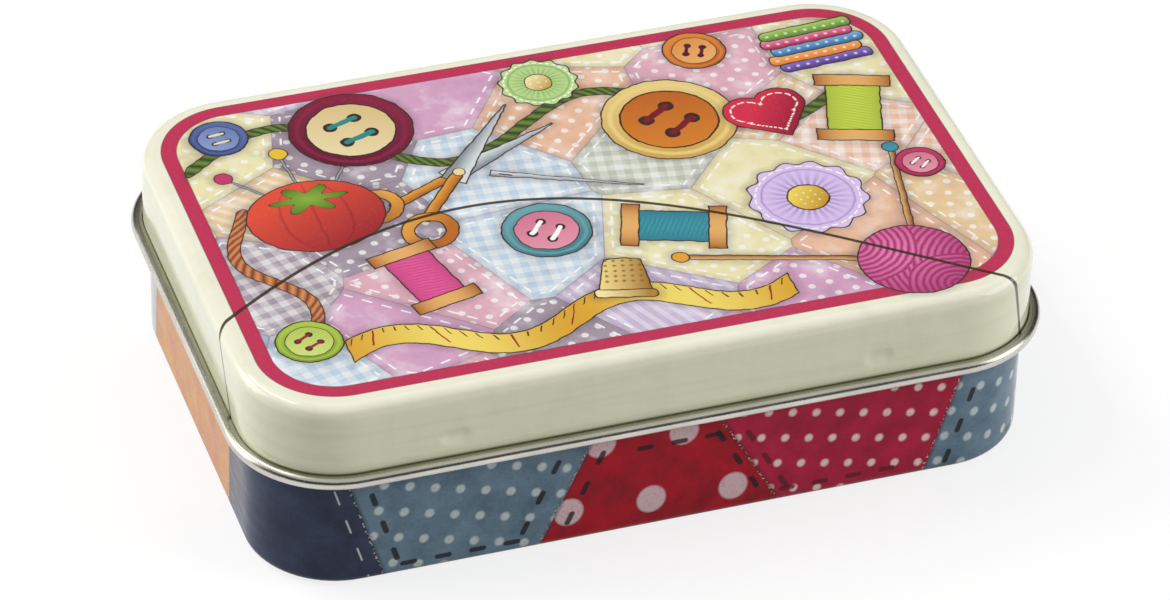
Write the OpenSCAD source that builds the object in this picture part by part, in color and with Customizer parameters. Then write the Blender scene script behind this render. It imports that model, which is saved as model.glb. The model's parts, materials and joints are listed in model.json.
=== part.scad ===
// Hinged sheet-metal tin: a drawn body with a raised base, a necked and curled rim and two
// hinge bars, and a drawn lid with a curled edge, two snap dimples and two rolled hinge knuckles.
// Origin: centre of the footprint on the resting plane. X along the length, +Y to the hinge side.

/* [Tin] */
// Length of the lid over its walls
lid_l = 106; // [90:1:130]
// Width of the lid over its walls
lid_w = 70; // [62:1:86]
// Height of the closed tin
tin_h = 28.5; // [27:0.1:32]
// Plan radius of the lid's corners
corner_r = 12.8; // [11:0.2:18]
// Thickness of the tinplate
sheet = 0.24; // [0.2:0.02:0.28]

/* [Lid] */
// Depth from the lid's top to the centre of its curled edge
lid_depth = 10.8; // [9.5:0.1:12]
// Outer radius of the bend round the lid's top
lid_edge_r = 1.6; // [1:0.1:2.4]
// Outer radius of the curl along the lid's lower edge
lid_curl_r = 0.9; // [0.75:0.05:1]
// Gap between the lid's skirt and the body's wall
skirt_gap = 0.55; // [0.5:0.05:0.6]

/* [Snap dimples] */
// Distance between the two dimples on the front skirt
dimple_span = 56.4; // [40:0.2:62]
// Straight length of a dimple between its round ends
dimple_run = 2; // [1.6:0.2:4]
// Radius of the punch that presses a dimple
dimple_punch_r = 1.2; // [1:0.1:1.6]
// Depth of a dimple
dimple_depth = 0.4; // [0.2:0.05:0.4]
// Height of the dimples over the centre of the lid's curl
dimple_rise = 3.7; // [3:0.1:4]

/* [Body] */
// Outer radius of the bend round the base
base_edge_r = 1.3; // [0.9:0.1:1.8]
// Width of the flat ring that the tin stands on
foot_ring_w = 2.6; // [1.6:0.2:3.4]
// Height by which the base panel stands over the foot ring
base_rise = 0.7; // [0.65:0.05:1]
// Centre-line radius of the bends in the base step and in the shoulder
step_bend_r = 0.3; // [0.2:0.05:0.3]
// Outer radius of the curl round the body's rim
rim_curl_r = 0.75; // [0.6:0.05:0.85]
// Clearance between the body's rim and the closed lid's top
rim_clear = 0.1; // [0.08:0.02:0.3]

/* [Hinge] */
// Distance between the centres of the two hinges
hinge_span = 56; // [40:1:60]
// Width of a hinge strap on the lid
strap_w = 9; // [7:0.5:12]
// Drop from the centre of the lid's curl to the hinge axis
hinge_drop = 1.7; // [1.7:0.05:2]
// Running clearance between a knuckle and its bar
hinge_clear = 0.05; // [0.03:0.01:0.08]
// Clearance at each side of a strap
strap_side_clear = 0.4; // [0.3:0.05:0.8]
// Width of the relief cut beside a strap
relief_w = 0.8; // [0.5:0.1:1.2]
// Clearance over and under a knuckle in its slot
slot_clear = 0.3; // [0.2:0.05:0.4]

/* [Hidden] */
$fn = 96;

// Clearance that the swinging lid keeps from the body
swing_clear = 0.05;
// Arc of each curl, which stops short of the wall that it comes back to
curl_arc = 295;
// Arc of a knuckle round its bar
knuckle_arc = 300;
// Length by which cutting solids pass through the sheet
cut_over = 1;

// Plan sizes of the body, which sits inside the lid's skirt
body_inset = sheet + skirt_gap;
body_l = lid_l - 2 * body_inset;
body_w = lid_w - 2 * body_inset;
body_corner_r = corner_r - body_inset;

// Heights
curl_z = tin_h - lid_depth;
hinge_z = curl_z - hinge_drop;
dimple_z = curl_z + dimple_rise;
rim_z = tin_h - sheet - rim_clear;
curl_top_z = curl_z + lid_curl_r;

// The bar lies in the middle of the body's wall, and the strap runs down its knuckle's side
hinge_y = body_w / 2 - sheet / 2;
knuckle_r = skirt_gap + 1.5 * sheet;
bar_r = knuckle_r - sheet - hinge_clear;
slot_w = strap_w + 2 * strap_side_clear;

// A point on the front skirt swings inwards on its way up over the body
reach = hinge_y + body_w / 2;
function swing_in(from_h, to_h) = reach - sqrt(pow(reach, 2) + pow(from_h, 2) - pow(to_h, 2));
function swing_top(from_h, room) = sqrt(pow(from_h, 2) + 2 * reach * room);
// Whole steps of the press tool, down and up
tool_step = 0.05;
function step_down(size) = tool_step * floor(size / tool_step);
function step_up(size) = tool_step * ceil(size / tool_step);

// The shoulder lies as high as the curl and the dimples can pass the full wall
curl_limit_h = swing_top(hinge_drop, skirt_gap - swing_clear);
dimple_limit_h = swing_top(dimple_z - hinge_z, skirt_gap - dimple_depth - swing_clear);
shoulder_z = step_down(hinge_z + min(curl_limit_h, dimple_limit_h));
// The neck is set in by what the curl needs to pass the rim
rim_widest_h = rim_z - rim_curl_r - hinge_z;
neck_room = swing_in(hinge_drop, rim_widest_h) + swing_clear - skirt_gap;
neck_inset = max(step_up(neck_room), 2 * step_bend_r + tool_step);

// Outline of a wedge about the origin, in chords that stay outside radius r
function wedge(r, from, to) = concat([[0, 0]],
    [for (i = [0:6]) let (a = from + (to - from) * i / 6) 2 * r * [cos(a), sin(a)]]);

// Sheet bent to an arc of outer radius r round the origin
module bend(r, from, to) {
    difference() {
        circle(r);
        circle(r - sheet);
        polygon(wedge(r, to, from + 360));
    }
}

// Sheet that runs up from the origin, centred on it, and steps to the left
module step(shift) {
    outer_r = step_bend_r + sheet / 2;
    translate([-step_bend_r, 0])
        bend(outer_r, 0, 90);
    run([step_bend_r - shift, step_bend_r - sheet / 2], [-step_bend_r, step_bend_r + sheet / 2]);
    translate([step_bend_r - shift, 2 * step_bend_r])
        bend(outer_r, 180, 270);
}

// Flat sheet between two corners in a section
module run(from, to) {
    translate(from)
        square(to - from);
}

// Carries a section round a rounded rectangle: its x counts outwards from the corners' centres
module around(l, w, r) {
    corner = [l / 2 - r, w / 2 - r];
    for (side = [0:3]) {
        across = side % 2 == 0 ? corner.x : corner.y;
        along = side % 2 == 0 ? corner.y : corner.x;
        rotate([0, 0, 90 * side])
            translate([across, 0, 0]) {
                rotate([90, 0, 0])
                    linear_extrude(2 * along, center = true)
                        children();
                translate([0, along, 0])
                    rotate_extrude(angle = 90)
                        children();
            }
    }
}

// Flat panel between the corners' centres
module panel(l, w, r, z) {
    translate([r - l / 2, r - w / 2, z])
        cube([l - 2 * r, w - 2 * r, sheet]);
}

// Section of the body, from the middle of the base to the rim
module body_section() {
    r = body_corner_r;
    ring_in = r - base_edge_r - foot_ring_w;
    panel_out = ring_in - 2 * step_bend_r;
    neck_out = r - neck_inset;
    neck_z = shoulder_z + 2 * step_bend_r;
    rim_curl_z = rim_z - rim_curl_r;
    run([0, base_rise], [panel_out, base_rise + sheet]);
    translate([ring_in, sheet / 2])
        rotate(90)
            mirror([1, 0])
                step(base_rise);
    run([ring_in, 0], [r - base_edge_r, sheet]);
    translate([r - base_edge_r, base_edge_r])
        bend(base_edge_r, -90, 0);
    run([r - sheet, base_edge_r], [r, shoulder_z]);
    translate([r - sheet / 2, shoulder_z])
        step(neck_inset);
    run([neck_out - sheet, neck_z], [neck_out, rim_curl_z]);
    translate([neck_out - rim_curl_r, rim_curl_z])
        bend(rim_curl_r, 0, curl_arc);
}

// Section of the lid, from the middle of its top to the curl
module lid_section() {
    r = corner_r;
    run([0, tin_h - sheet], [r - lid_edge_r, tin_h]);
    translate([r - lid_edge_r, tin_h - lid_edge_r])
        bend(lid_edge_r, 0, 90);
    run([r - sheet, curl_z], [r, tin_h - lid_edge_r]);
    translate([r - sheet + lid_curl_r, curl_z])
        bend(lid_curl_r, 180, 180 + curl_arc);
}

// Places its children at both hinges, with the hinge axis along X
module at_hinges() {
    for (side = [-1, 1])
        translate([side * hinge_span / 2, hinge_y, hinge_z])
            children();
}

// Solid of a section in the Y-Z plane, centred on its length along X
module across_x(length) {
    rotate([90, 0, 90])
        linear_extrude(length, center = true)
            children();
}

// Slot through the back wall, which frees the bar and lets the knuckle turn
module hinge_slot() {
    height = 2 * (knuckle_r + slot_clear);
    cube([slot_w, sheet + 2 * cut_over, height], center = true);
}

module hinge_bar() {
    rotate([0, 90, 0])
        cylinder(r = bar_r, h = slot_w + 2 * sheet, center = true);
}

// Gap in the lid's curl that the strap comes down through
module curl_gap() {
    width = strap_w + 2 * relief_w;
    depth = 2 * lid_curl_r + cut_over;
    top = curl_top_z + relief_w - hinge_z;
    translate([-width / 2, knuckle_r - sheet - cut_over, 0])
        cube([width, depth + cut_over, top]);
}

// Strap down from the skirt, rolled inwards round the bar
module strap() {
    top = curl_top_z + relief_w - hinge_z;
    across_x(strap_w) {
        run([knuckle_r - sheet, 0], [knuckle_r, top]);
        bend(knuckle_r, -knuckle_arc, 0);
    }
}

// Capsule that presses a dimple, or with the sheet added, the inside of one
module punch(r) {
    rotate([0, 90, 0])
        cylinder(r = r, h = dimple_run, center = true);
    for (side = [-1, 1])
        translate([side * dimple_run / 2, 0, 0])
            sphere(r);
}

// Places its children at both dimples, at the centre of the punch in front of the skirt
module at_dimples() {
    for (side = [-1, 1])
        translate([side * dimple_span / 2, dimple_depth - dimple_punch_r - lid_w / 2, dimple_z])
            children();
}

module body() {
    color("steelblue") {
        difference() {
            union() {
                around(body_l, body_w, body_corner_r)
                    body_section();
                panel(body_l, body_w, body_corner_r, base_rise);
            }
            at_hinges()
                hinge_slot();
        }
        at_hinges()
            hinge_bar();
    }
}

module lid() {
    color("ivory") {
        difference() {
            union() {
                difference() {
                    around(lid_l, lid_w, corner_r)
                        lid_section();
                    at_hinges()
                        curl_gap();
                }
                panel(lid_l, lid_w, corner_r, tin_h - sheet);
                intersection() {
                    at_dimples()
                        punch(dimple_punch_r + sheet);
                    translate([-lid_l / 2, -lid_w / 2 + sheet / 2, curl_top_z])
                        cube([lid_l, lid_depth, lid_depth - lid_curl_r - lid_edge_r]);
                }
            }
            at_dimples()
                punch(dimple_punch_r);
        }
        at_hinges()
            strap();
    }
}

body();
lid();
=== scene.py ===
# %% [markdown]
# # A hinged sewing tin
# The object is a small tin for sewing things. It is made of two sheets of tinplate that were printed flat
# and then drawn to shape: a body with a raised base and a curled rim, and a lid with a curled edge that
# hinges on two bars in the body's back wall. The lid carries a printed quilt with sewing things on it, and
# the body a printed patchwork with dots and running stitches.
#
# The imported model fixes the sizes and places. This script builds finer sheets there and dresses them.

# %% Load the frame
import json
import math

import bmesh
import bpy
from mathutils import Matrix, Vector

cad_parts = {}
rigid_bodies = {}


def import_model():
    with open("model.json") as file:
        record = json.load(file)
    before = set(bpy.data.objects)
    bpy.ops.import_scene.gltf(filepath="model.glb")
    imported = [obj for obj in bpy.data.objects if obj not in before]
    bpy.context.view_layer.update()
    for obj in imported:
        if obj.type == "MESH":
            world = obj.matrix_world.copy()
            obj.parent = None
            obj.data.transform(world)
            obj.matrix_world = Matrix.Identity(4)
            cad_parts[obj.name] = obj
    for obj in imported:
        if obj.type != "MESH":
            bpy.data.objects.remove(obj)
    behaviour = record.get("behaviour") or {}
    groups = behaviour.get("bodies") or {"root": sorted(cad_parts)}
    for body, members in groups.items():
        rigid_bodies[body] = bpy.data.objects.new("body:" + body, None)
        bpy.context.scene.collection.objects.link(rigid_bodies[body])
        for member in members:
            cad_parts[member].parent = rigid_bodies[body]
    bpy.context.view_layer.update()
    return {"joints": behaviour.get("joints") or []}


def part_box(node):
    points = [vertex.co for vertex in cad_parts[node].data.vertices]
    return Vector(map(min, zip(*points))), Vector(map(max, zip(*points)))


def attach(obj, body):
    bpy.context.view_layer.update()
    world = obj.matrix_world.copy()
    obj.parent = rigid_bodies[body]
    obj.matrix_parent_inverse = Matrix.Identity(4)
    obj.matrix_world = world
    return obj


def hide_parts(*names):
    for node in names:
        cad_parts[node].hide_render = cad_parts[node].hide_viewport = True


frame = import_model()

# %% [markdown]
# ## Sizes
# Lengths are in millimetres, as on a drawing, and become metres when a mesh is made. The outer sizes come
# from the frame's boxes, and the sheet and the bends are the ones that the press tools give. The lid's
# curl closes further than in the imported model, nearly onto the wall, so that a thin dark groove is left.

# %% Sizes from the frame
MM = 0.001
sheet = 0.24
lid_curl_r = 0.9
rim_curl_r = 0.75
lid_edge_r = 1.6
base_edge_r = 1.3
base_rise = 0.7
foot_ring_w = 2.6
step_bend_r = 0.3
shoulder_z = 22.45
neck_inset = 0.65
lid_depth = 10.8
rim_clear = 0.1
hinge_span = 56
strap_w = 9
strap_side_clear = 0.4
relief_w = 0.8
slot_clear = 0.3
hinge_clear = 0.05
rim_curl_arc = 295
lid_curl_arc = 311
knuckle_arc = 300

body_low, body_high = (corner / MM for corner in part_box("body"))
lid_low, lid_high = (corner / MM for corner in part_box("lid"))
body_l = body_high.x - body_low.x
body_w = -2 * body_low.y
lid_l = lid_high.x - lid_low.x - 2 * (2 * lid_curl_r - sheet)
lid_w = -2 * (lid_low.y + 2 * lid_curl_r - sheet)
tin_h = lid_high.z
skirt_gap = (lid_l - body_l) / 2 - sheet
lid_corner_r = 12.8
body_corner_r = lid_corner_r - sheet - skirt_gap
curl_z = tin_h - lid_depth
rim_z = tin_h - sheet - rim_clear
hinge_y = (body_w - sheet) / 2
hinge_z = frame["joints"][0]["pos_m"][2] / MM
hinge_xs = (-hinge_span / 2, hinge_span / 2)
knuckle_r = skirt_gap + 1.5 * sheet
bar_r = knuckle_r - sheet - hinge_clear
print(f"body {body_l:.2f} x {body_w:.2f}, lid {lid_l:.2f} x {lid_w:.2f}, height {tin_h:.2f}")

# %% [markdown]
# ## The camera
# The photograph looks down on the tin from the front left with a long lens, so its parallel edges hardly
# converge. The camera's place is worked out from an aim point, two angles and a distance.

# %% Camera
sensor_w = 36
camera_lens = 176.3
camera_turn = math.radians(-19.23)
camera_rise = math.radians(36.87)
camera_roll = math.radians(1.543)
camera_distance = 753.8
camera_aim = Vector((0.5, -0.17, 11.44))


def put(name, data):
    """A new object in the scene."""
    item = bpy.data.objects.new(name, data)
    bpy.context.scene.collection.objects.link(item)
    return item


def make_camera():
    towards = Vector((math.cos(camera_rise) * math.sin(camera_turn),
                      -math.cos(camera_rise) * math.cos(camera_turn),
                      math.sin(camera_rise)))
    data = bpy.data.cameras.new("camera")
    data.sensor_width = sensor_w
    data.lens = camera_lens
    camera = put("camera", data)
    turn = towards.to_track_quat("Z", "Y").to_matrix().to_4x4()
    place = Matrix.Translation((camera_aim + towards * camera_distance) * MM)
    camera.matrix_world = place @ turn @ Matrix.Rotation(camera_roll, 4, "Z")
    bpy.context.scene.camera = camera
    return camera


camera = make_camera()
print("camera at", [round(v / MM, 1) for v in camera.matrix_world.translation])

# %% [markdown]
# ## A pen for the sections
# A pressed sheet is easiest to describe the way a fitter bends it: go straight for so long, bend round a
# radius by so many degrees, go straight again. The pen does that along the middle of the sheet. It keeps
# its heading at each point, so the two faces of the sheet can be set off square to it later.

# %% The pen
bend_step = 15
guard = 0.25
least_gap = 0.02
touch = 0.01


class Pen:
    """Draws the middle line of a sheet: u counts outwards from the corners' centres, z upwards."""

    def __init__(self, u, z, heading):
        self.u, self.z, self.heading = u, z, math.radians(heading)
        self.points = []
        self.mark()

    def mark(self):
        self.points.append((self.u, self.z, self.heading))

    def go(self, length):
        self.u += length * math.cos(self.heading)
        self.z += length * math.sin(self.heading)

    def line(self, length, stops=()):
        """A straight stretch. Points close to its ends keep the shading of the bends off it."""
        done = 0
        ends = [guard, length - guard] if length > 3 * guard else []
        for stop in sorted([*stops, *ends, length]):
            if stop - done > least_gap:
                self.go(stop - done)
                self.mark()
                done = stop

    def bend(self, radius, turn, step=bend_step):
        """An arc of the middle line: a turn to the left counts as positive."""
        count = max(2, math.ceil(abs(turn) / step))
        part = math.radians(turn / count)
        chord = 2 * radius * math.sin(abs(part) / 2)
        for _ in range(count):
            self.heading += part / 2
            self.go(chord)
            self.heading += part / 2
            self.mark()


# %% [markdown]
# ## A path round the tin
# Both sheets follow a rounded rectangle. The path holds stations: a base point on the rectangle of the
# corners' centres, the outward direction there, and the girth, which is the distance walked round the
# wall. Extra stations lie where a slot, a strap or a dimple needs an edge.

# %% Stations round the tin
corner_step = 5
corner_guard = 1
SIDES = {"back": 90, "left": 180, "front": 270, "right": 0}


def walk(length, width, corner_r, stops):
    """Stations (x, y, angle, girth) from the back's middle, over the left side, and round again."""
    cx, cy = length / 2 - corner_r, width / 2 - corner_r
    ends = [Vector(end) for end in ((0, cy), (-cx, cy), (-cx, -cy), (cx, -cy), (cx, cy), (0, cy))]
    legs = list(zip(("back", "left", "front", "right", "back"), ends, ends[1:]))
    stations = []
    girth = 0
    for number, (side, start, end) in enumerate(legs):
        span = (end - start).length
        along = (end - start) / span
        places = {0, span, corner_guard, span - corner_guard}
        for stop in stops.get(side, ()):
            reached = stop * (along.x + along.y) - start.dot(along)
            if least_gap < reached < span - least_gap:
                places.add(reached)
        for reached in sorted(places):
            spot = start + along * reached
            stations.append((spot.x, spot.y, SIDES[side], girth + reached))
        girth += span
        if number < len(legs) - 1:
            for turned in range(corner_step, 90, corner_step):
                arc = girth + math.radians(turned) * corner_r
                stations.append((end.x, end.y, SIDES[side] + turned, arc))
            girth += math.radians(90) * corner_r
    return [(x, y, math.radians(a), s - girth / 2) for x, y, a, s in stations], girth


# %% [markdown]
# ## Sheets as closed shells
# A surface with a Solidify modifier would give the sheet its thickness, but it smears the cut edges of
# slots. So both faces are laid down here, half the sheet to each side of the middle line, and wherever a
# cell is missing, or the sheet ends, a narrow strip closes the cut edge. The result is one closed skin.

# %% Two faces of a sheet
sharp_edge = math.radians(40)


def finish_mesh(name, mesh):
    """Normals outwards, soft bends and crisp cut edges."""
    work = bmesh.new()
    work.from_mesh(mesh)
    bmesh.ops.delete(work, geom=[v for v in work.verts if not v.link_faces], context="VERTS")
    bmesh.ops.recalc_face_normals(work, faces=work.faces)
    for face in work.faces:
        face.smooth = True
    work.to_mesh(mesh)
    work.free()
    mesh.set_sharp_from_angle(angle=sharp_edge)
    return put(name, mesh)


def both_faces(section, outside, path, pressed):
    """Points of the outer face and then of the inner one, station by station."""
    spots = []
    for face in (1, -1):
        for x, y, a, _ in path:
            out = Vector((math.cos(a), math.sin(a), 0))
            for u, z, heading in section:
                off = face * outside * sheet / 2
                spot = Vector((x, y, z - off * math.cos(heading))) + out * (u + off * math.sin(heading))
                if pressed:
                    spot -= out * pressed(spot, a)
                spots.append(spot * MM)
    return spots


# %% Shell builder
def shell(name, section, outside, path, girth, is_cut, slot_of, pressed=None):
    """A sheet carried round the path. outside is 1 if the section's right-hand side shows, or -1."""
    rows, across = len(path), len(section)
    verts = both_faces(section, outside, path, pressed)

    def vert(face, k, j):
        return face * rows * across + (k % rows) * across + j

    def middle(k, j):
        return (verts[vert(0, k, j)] + verts[vert(0, k + 1, j + 1)]) / 2 / MM

    kept = [[not is_cut(middle(k, j)) for j in range(across - 1)] for k in range(rows)]
    faces, slots, girths = [], [], []

    def add(corners, slot, stations):
        faces.append(corners)
        slots.append(slot)
        girths.extend(path[k][3] if k < rows else girth / 2 for k in stations)

    for k in range(rows):
        for j in range(across - 1):
            if not kept[k][j]:
                continue
            ring = [(k, j), (k + 1, j), (k + 1, j + 1), (k, j + 1)]
            for face in (0, 1):
                slot = slot_of(middle(k, j)) if face == 0 else 1
                add([vert(face, *c) for c in ring], slot, [c[0] for c in ring])
            sides = [(k, j - 1, ring[0], ring[1]), ((k + 1) % rows, j, ring[1], ring[2]),
                     (k, j + 1, ring[2], ring[3]), ((k - 1) % rows, j, ring[3], ring[0])]
            for kk, jj, a, b in sides:
                if jj >= 0 and (jj == across - 1 or not kept[kk][jj]):
                    strip = [vert(0, *a), vert(0, *b), vert(1, *b), vert(1, *a)]
                    add(strip, 1, [a[0], b[0], b[0], a[0]])
    for face in (0, 1):
        cap = slot_of(verts[vert(0, 0, 0)] / MM) if face == 0 else 1
        add([vert(face, k, 0) for k in range(rows)], cap, range(rows))

    mesh = bpy.data.meshes.new(name)
    mesh.from_pydata(verts, [], faces)
    mesh.polygons.foreach_set("material_index", slots)
    layer = mesh.uv_layers.new(name="girth")
    loops = [value for i, loop in enumerate(mesh.loops)
             for value in (girths[i] * MM, verts[loop.vertex_index][2])]
    layer.data.foreach_set("uv", loops)
    return finish_mesh(name, mesh)


# %% [markdown]
# ## The body
# The body stands on a narrow foot ring. Its base panel is pressed up by less than a millimetre, so that it
# can't rock. Under the lid the wall steps in to a neck, and two slots at the back leave a bar each for the
# lid's straps.

# %% Body shell
panel_edge = 1.0
print_bottom_z = 0.25
print_top_z = 20.5
slot_half_h = knuckle_r + slot_clear
slot_half_w = strap_w / 2 + strap_side_clear
back_zone = 2


def body_section():
    """From the base panel's edge over the foot ring, the wall and the neck up to the rim's curl."""
    ring_in = body_corner_r - base_edge_r - foot_ring_w
    pen = Pen(panel_edge, base_rise + sheet / 2, 0)
    pen.line(ring_in - 2 * step_bend_r - panel_edge)
    pen.bend(step_bend_r, -90)
    pen.line(base_rise - 2 * step_bend_r)
    pen.bend(step_bend_r, 90)
    pen.line(foot_ring_w)
    pen.bend(base_edge_r - sheet / 2, 90, step=10)
    rise = pen.z
    heights = [hinge_z - slot_half_h, hinge_z + slot_half_h, print_top_z]
    pen.line(shoulder_z - rise, [z - rise for z in heights])
    pen.bend(step_bend_r, 90)
    pen.line(neck_inset - 2 * step_bend_r)
    pen.bend(step_bend_r, -90)
    pen.line(rim_z - rim_curl_r - pen.z)
    return pen.points


def at_hinge(x, half_w):
    """True less than half_w from the middle of either hinge."""
    return min(abs(x - hinge_x) for hinge_x in hinge_xs) < half_w


def in_hinge_slot(spot):
    """True where the back wall is cut away round a bar."""
    at_back = spot.y > body_w / 2 - back_zone
    return at_back and at_hinge(spot.x, slot_half_w) and abs(spot.z - hinge_z) < slot_half_h


def body_slot_of(spot):
    """Printed wall between the foot ring and the lid, bare metal elsewhere."""
    past_x = max(0, abs(spot.x) - body_l / 2 + body_corner_r)
    past_y = max(0, abs(spot.y) - body_w / 2 + body_corner_r)
    on_wall = math.hypot(past_x, past_y) > body_corner_r - base_edge_r
    return 0 if on_wall and print_bottom_z < spot.z < print_top_z else 1


body_stops = {"back": [x + side * slot_half_w for x in hinge_xs for side in (-1, 1)]}
body_path, body_girth = walk(body_l, body_w, body_corner_r, body_stops)
body_shell = shell("body_shell", body_section(), 1, body_path, body_girth, in_hinge_slot, body_slot_of)
print("body shell:", len(body_shell.data.polygons), "faces, girth", round(body_girth, 1))

# %% [markdown]
# ## The lid
# The lid's skirt has two shallow dimples at the front, which snap over the body's shoulder when the tin is
# shut. A dimple is the mark of a round-ended punch. Its depth at any spot follows from the distance to the
# punch's middle line, and falls off softly, because the sheet is drawn in around it.

# %% Lid shell
dimple_span = 56.4
dimple_run = 1.4
dimple_r = 1.6
dimple_depth = 0.26
dimple_z = curl_z + 3.7
dimple_xs = (-dimple_span / 2, dimple_span / 2)
dimple_steps = [i * 0.225 for i in range(-12, 13)]
dimple_rises = [i * 0.15 for i in range(-10, 11)]
gap_half_w = strap_w / 2 + relief_w
gap_top_z = curl_z + lid_curl_r + relief_w


def lid_section():
    """From the flat top over the rounded edge and down the skirt to the curl."""
    pen = Pen(panel_edge, tin_h - sheet / 2, 0)
    pen.line(lid_corner_r - lid_edge_r - panel_edge)
    pen.bend(lid_edge_r - sheet / 2, -90, step=7.5)
    top = pen.z
    heights = [dimple_z + rise for rise in dimple_rises] + [gap_top_z]
    pen.line(top - curl_z, [top - z for z in heights])
    return pen.points


def dimple(spot, angle):
    """Depth by which the punch presses the front skirt inwards."""
    if abs(angle - math.radians(SIDES["front"])) > touch:
        return 0
    across = max(0, min(abs(spot.x - x) for x in dimple_xs) - dimple_run / 2)
    away = math.hypot(across, spot.z - dimple_z) / dimple_r
    return dimple_depth * (1 - away * away) ** 2 if away < 1 else 0


def in_strap_gap(spot):
    """True where the skirt's lower end is cut away for a strap."""
    return spot.y > lid_w / 2 - back_zone and at_hinge(spot.x, gap_half_w) and spot.z < gap_top_z


lid_stops = {"front": [x + step for x in dimple_xs for step in dimple_steps],
             "back": [x + side * half for x in hinge_xs for side in (-1, 1)
                      for half in (strap_w / 2, gap_half_w)]}
lid_path, lid_girth = walk(lid_l, lid_w, lid_corner_r, lid_stops)
lid_shell = shell("lid_shell", lid_section(), -1, lid_path, lid_girth, in_strap_gap, lambda spot: 0,
                  dimple)
print("lid shell:", len(lid_shell.data.polygons), "faces, girth", round(lid_girth, 1))

# %% [markdown]
# ## Trees as expressions
# Most of the tin's looks are printed, so its patterns are worked out in the shader from places on the tin.
# A chain of Math nodes is hard to read, so a small class wraps a socket and turns Python's operators into
# those nodes. Any other node comes from one method, and colours are laid over each other with Mix nodes.

# %% Numbers in a shader
def operation(kind, *first):
    """A method that adds one Math node of this kind."""
    return lambda number, *others: number.math(kind, *first, *others)


class Num:
    """A number in a shader: an expression on it adds Math nodes."""

    def __init__(self, nodes, socket):
        self.nodes, self.socket = nodes, socket

    def math(self, kind, *others):
        return self.nodes.number("Math", 0, dict(enumerate((self, *others))), operation=kind)

    __add__ = __radd__ = operation("ADD")
    __mul__ = __rmul__ = operation("MULTIPLY")
    __sub__ = operation("SUBTRACT")
    __rsub__ = operation("MULTIPLY_ADD", -1)
    __neg__ = operation("MULTIPLY", -1)
    __truediv__ = operation("DIVIDE")
    times_add = operation("MULTIPLY_ADD")
    power = operation("POWER")
    root = operation("SQRT")
    size = operation("ABSOLUTE")
    sine = operation("SINE")
    cosine = operation("COSINE")
    angle = operation("ARCTAN2")
    least = operation("MINIMUM")
    most = operation("MAXIMUM")
    # 1 where this is greater or less than the other, and 0 elsewhere
    over = operation("GREATER_THAN")
    under = operation("LESS_THAN")

    def clamped(self):
        """Kept from 0 to 1. A node of its own: Cycles would put off a Math node that clamps to the end."""
        return self.nodes.number("Clamp", 0, {0: self})

    def apart(self, pitch):
        """Distance to the nearest multiple of the pitch."""
        return self.math("PINGPONG", pitch * 0.5)

    def ink(self, soft=0.1):
        """1 inside a shape, 0 outside it, with a soft edge, from the distance to its edge."""
        return self.times_add(-1 / soft, 0.5).clamped()

    def rise(self, scale, start):
        """A ramp: this times the scale plus the start, kept from 0 to 1."""
        return self.times_add(scale, start).clamped()


# %% Nodes
def tint(code):
    """A colour written as a hex code, as the linear values that Blender works in."""
    if not isinstance(code, str):
        return code
    parts = [int(code[i:i + 2], 16) / 255 for i in (1, 3, 5)]
    return (*(p / 12.92 if p < 0.04045 else ((p + 0.055) / 1.055) ** 2.4 for p in parts), 1)


class Nodes:
    """A tree that is built step by step, with a colour that grows in layers."""

    def __init__(self, tree, base="#FFFFFF", prefix="ShaderNode"):
        self.tree, self.colour, self.prefix = tree, tint(base), prefix

    def socket(self, key, kind, side="INPUT"):
        """A named socket on the outside of a node group."""
        return self.tree.interface.new_socket(key, in_out=side, socket_type="NodeSocket" + kind)

    def wire(self, socket, value):
        value = value.socket if isinstance(value, Num) else value
        if isinstance(value, bpy.types.NodeSocket):
            self.tree.links.new(value, socket)
        else:
            socket.default_value = value

    def node(self, kind, inputs, stops=(), **settings):
        """Adds a node: its settings, the colours of a stepped ramp, then its sockets' values or links."""
        node = self.tree.nodes.new(self.prefix + kind)
        for key, value in settings.items():
            setattr(node, key, value)
        if stops:
            node.color_ramp.interpolation = "CONSTANT"
            for i, code in enumerate(stops):
                place = i / len(stops)
                stop = node.color_ramp.elements[0] if i == 0 else node.color_ramp.elements.new(place)
                stop.position = place
                stop.color = tint(code)
        for key, value in inputs.items():
            self.wire(node.inputs[key], value)
        return node.outputs

    def number(self, kind, output, inputs, **settings):
        """One output of a new node, as a number."""
        return Num(self, self.node(kind, inputs, **settings)[output])

    def numbers(self, sockets):
        return [Num(self, socket) for socket in sockets]

    def split(self, vector):
        return self.numbers(self.node("SeparateXYZ", {0: vector}))

    def vector(self, x, y, z=0.0):
        return self.node("CombineXYZ", {0: x, 1: y, 2: z})[0]

    def noise(self, where, scale, detail=2.0, roughness=0.5):
        """Cloudy noise, mostly from 0.3 to 0.7, for places in millimetres."""
        return self.number("TexNoise", 0, {"Vector": where, "Scale": scale, "Detail": detail,
                                           "Roughness": roughness})

    def mix(self, a, b, factor):
        """Colour a, turning to colour b as the factor goes from 0 to 1."""
        return self.node("Mix", {0: factor, 6: tint(a), 7: tint(b)}, data_type="RGBA")[2]

    def cover(self, colour, mask):
        """Lays a colour over what is there, where the mask is 1."""
        self.colour = self.mix(self.colour, colour, mask)


print("a crimson in linear values:", [round(v, 3) for v in tint("#C8325A")])

# %% [markdown]
# ## Materials and stamps
# A material closes with a varnished surface. A stamp is a node group that draws one thing round its own
# origin, so the same button can be printed in many sizes and colours. It gives back the thing's colour and
# the distance to its outline, from which the print takes a mask and a soft shadow.

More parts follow.
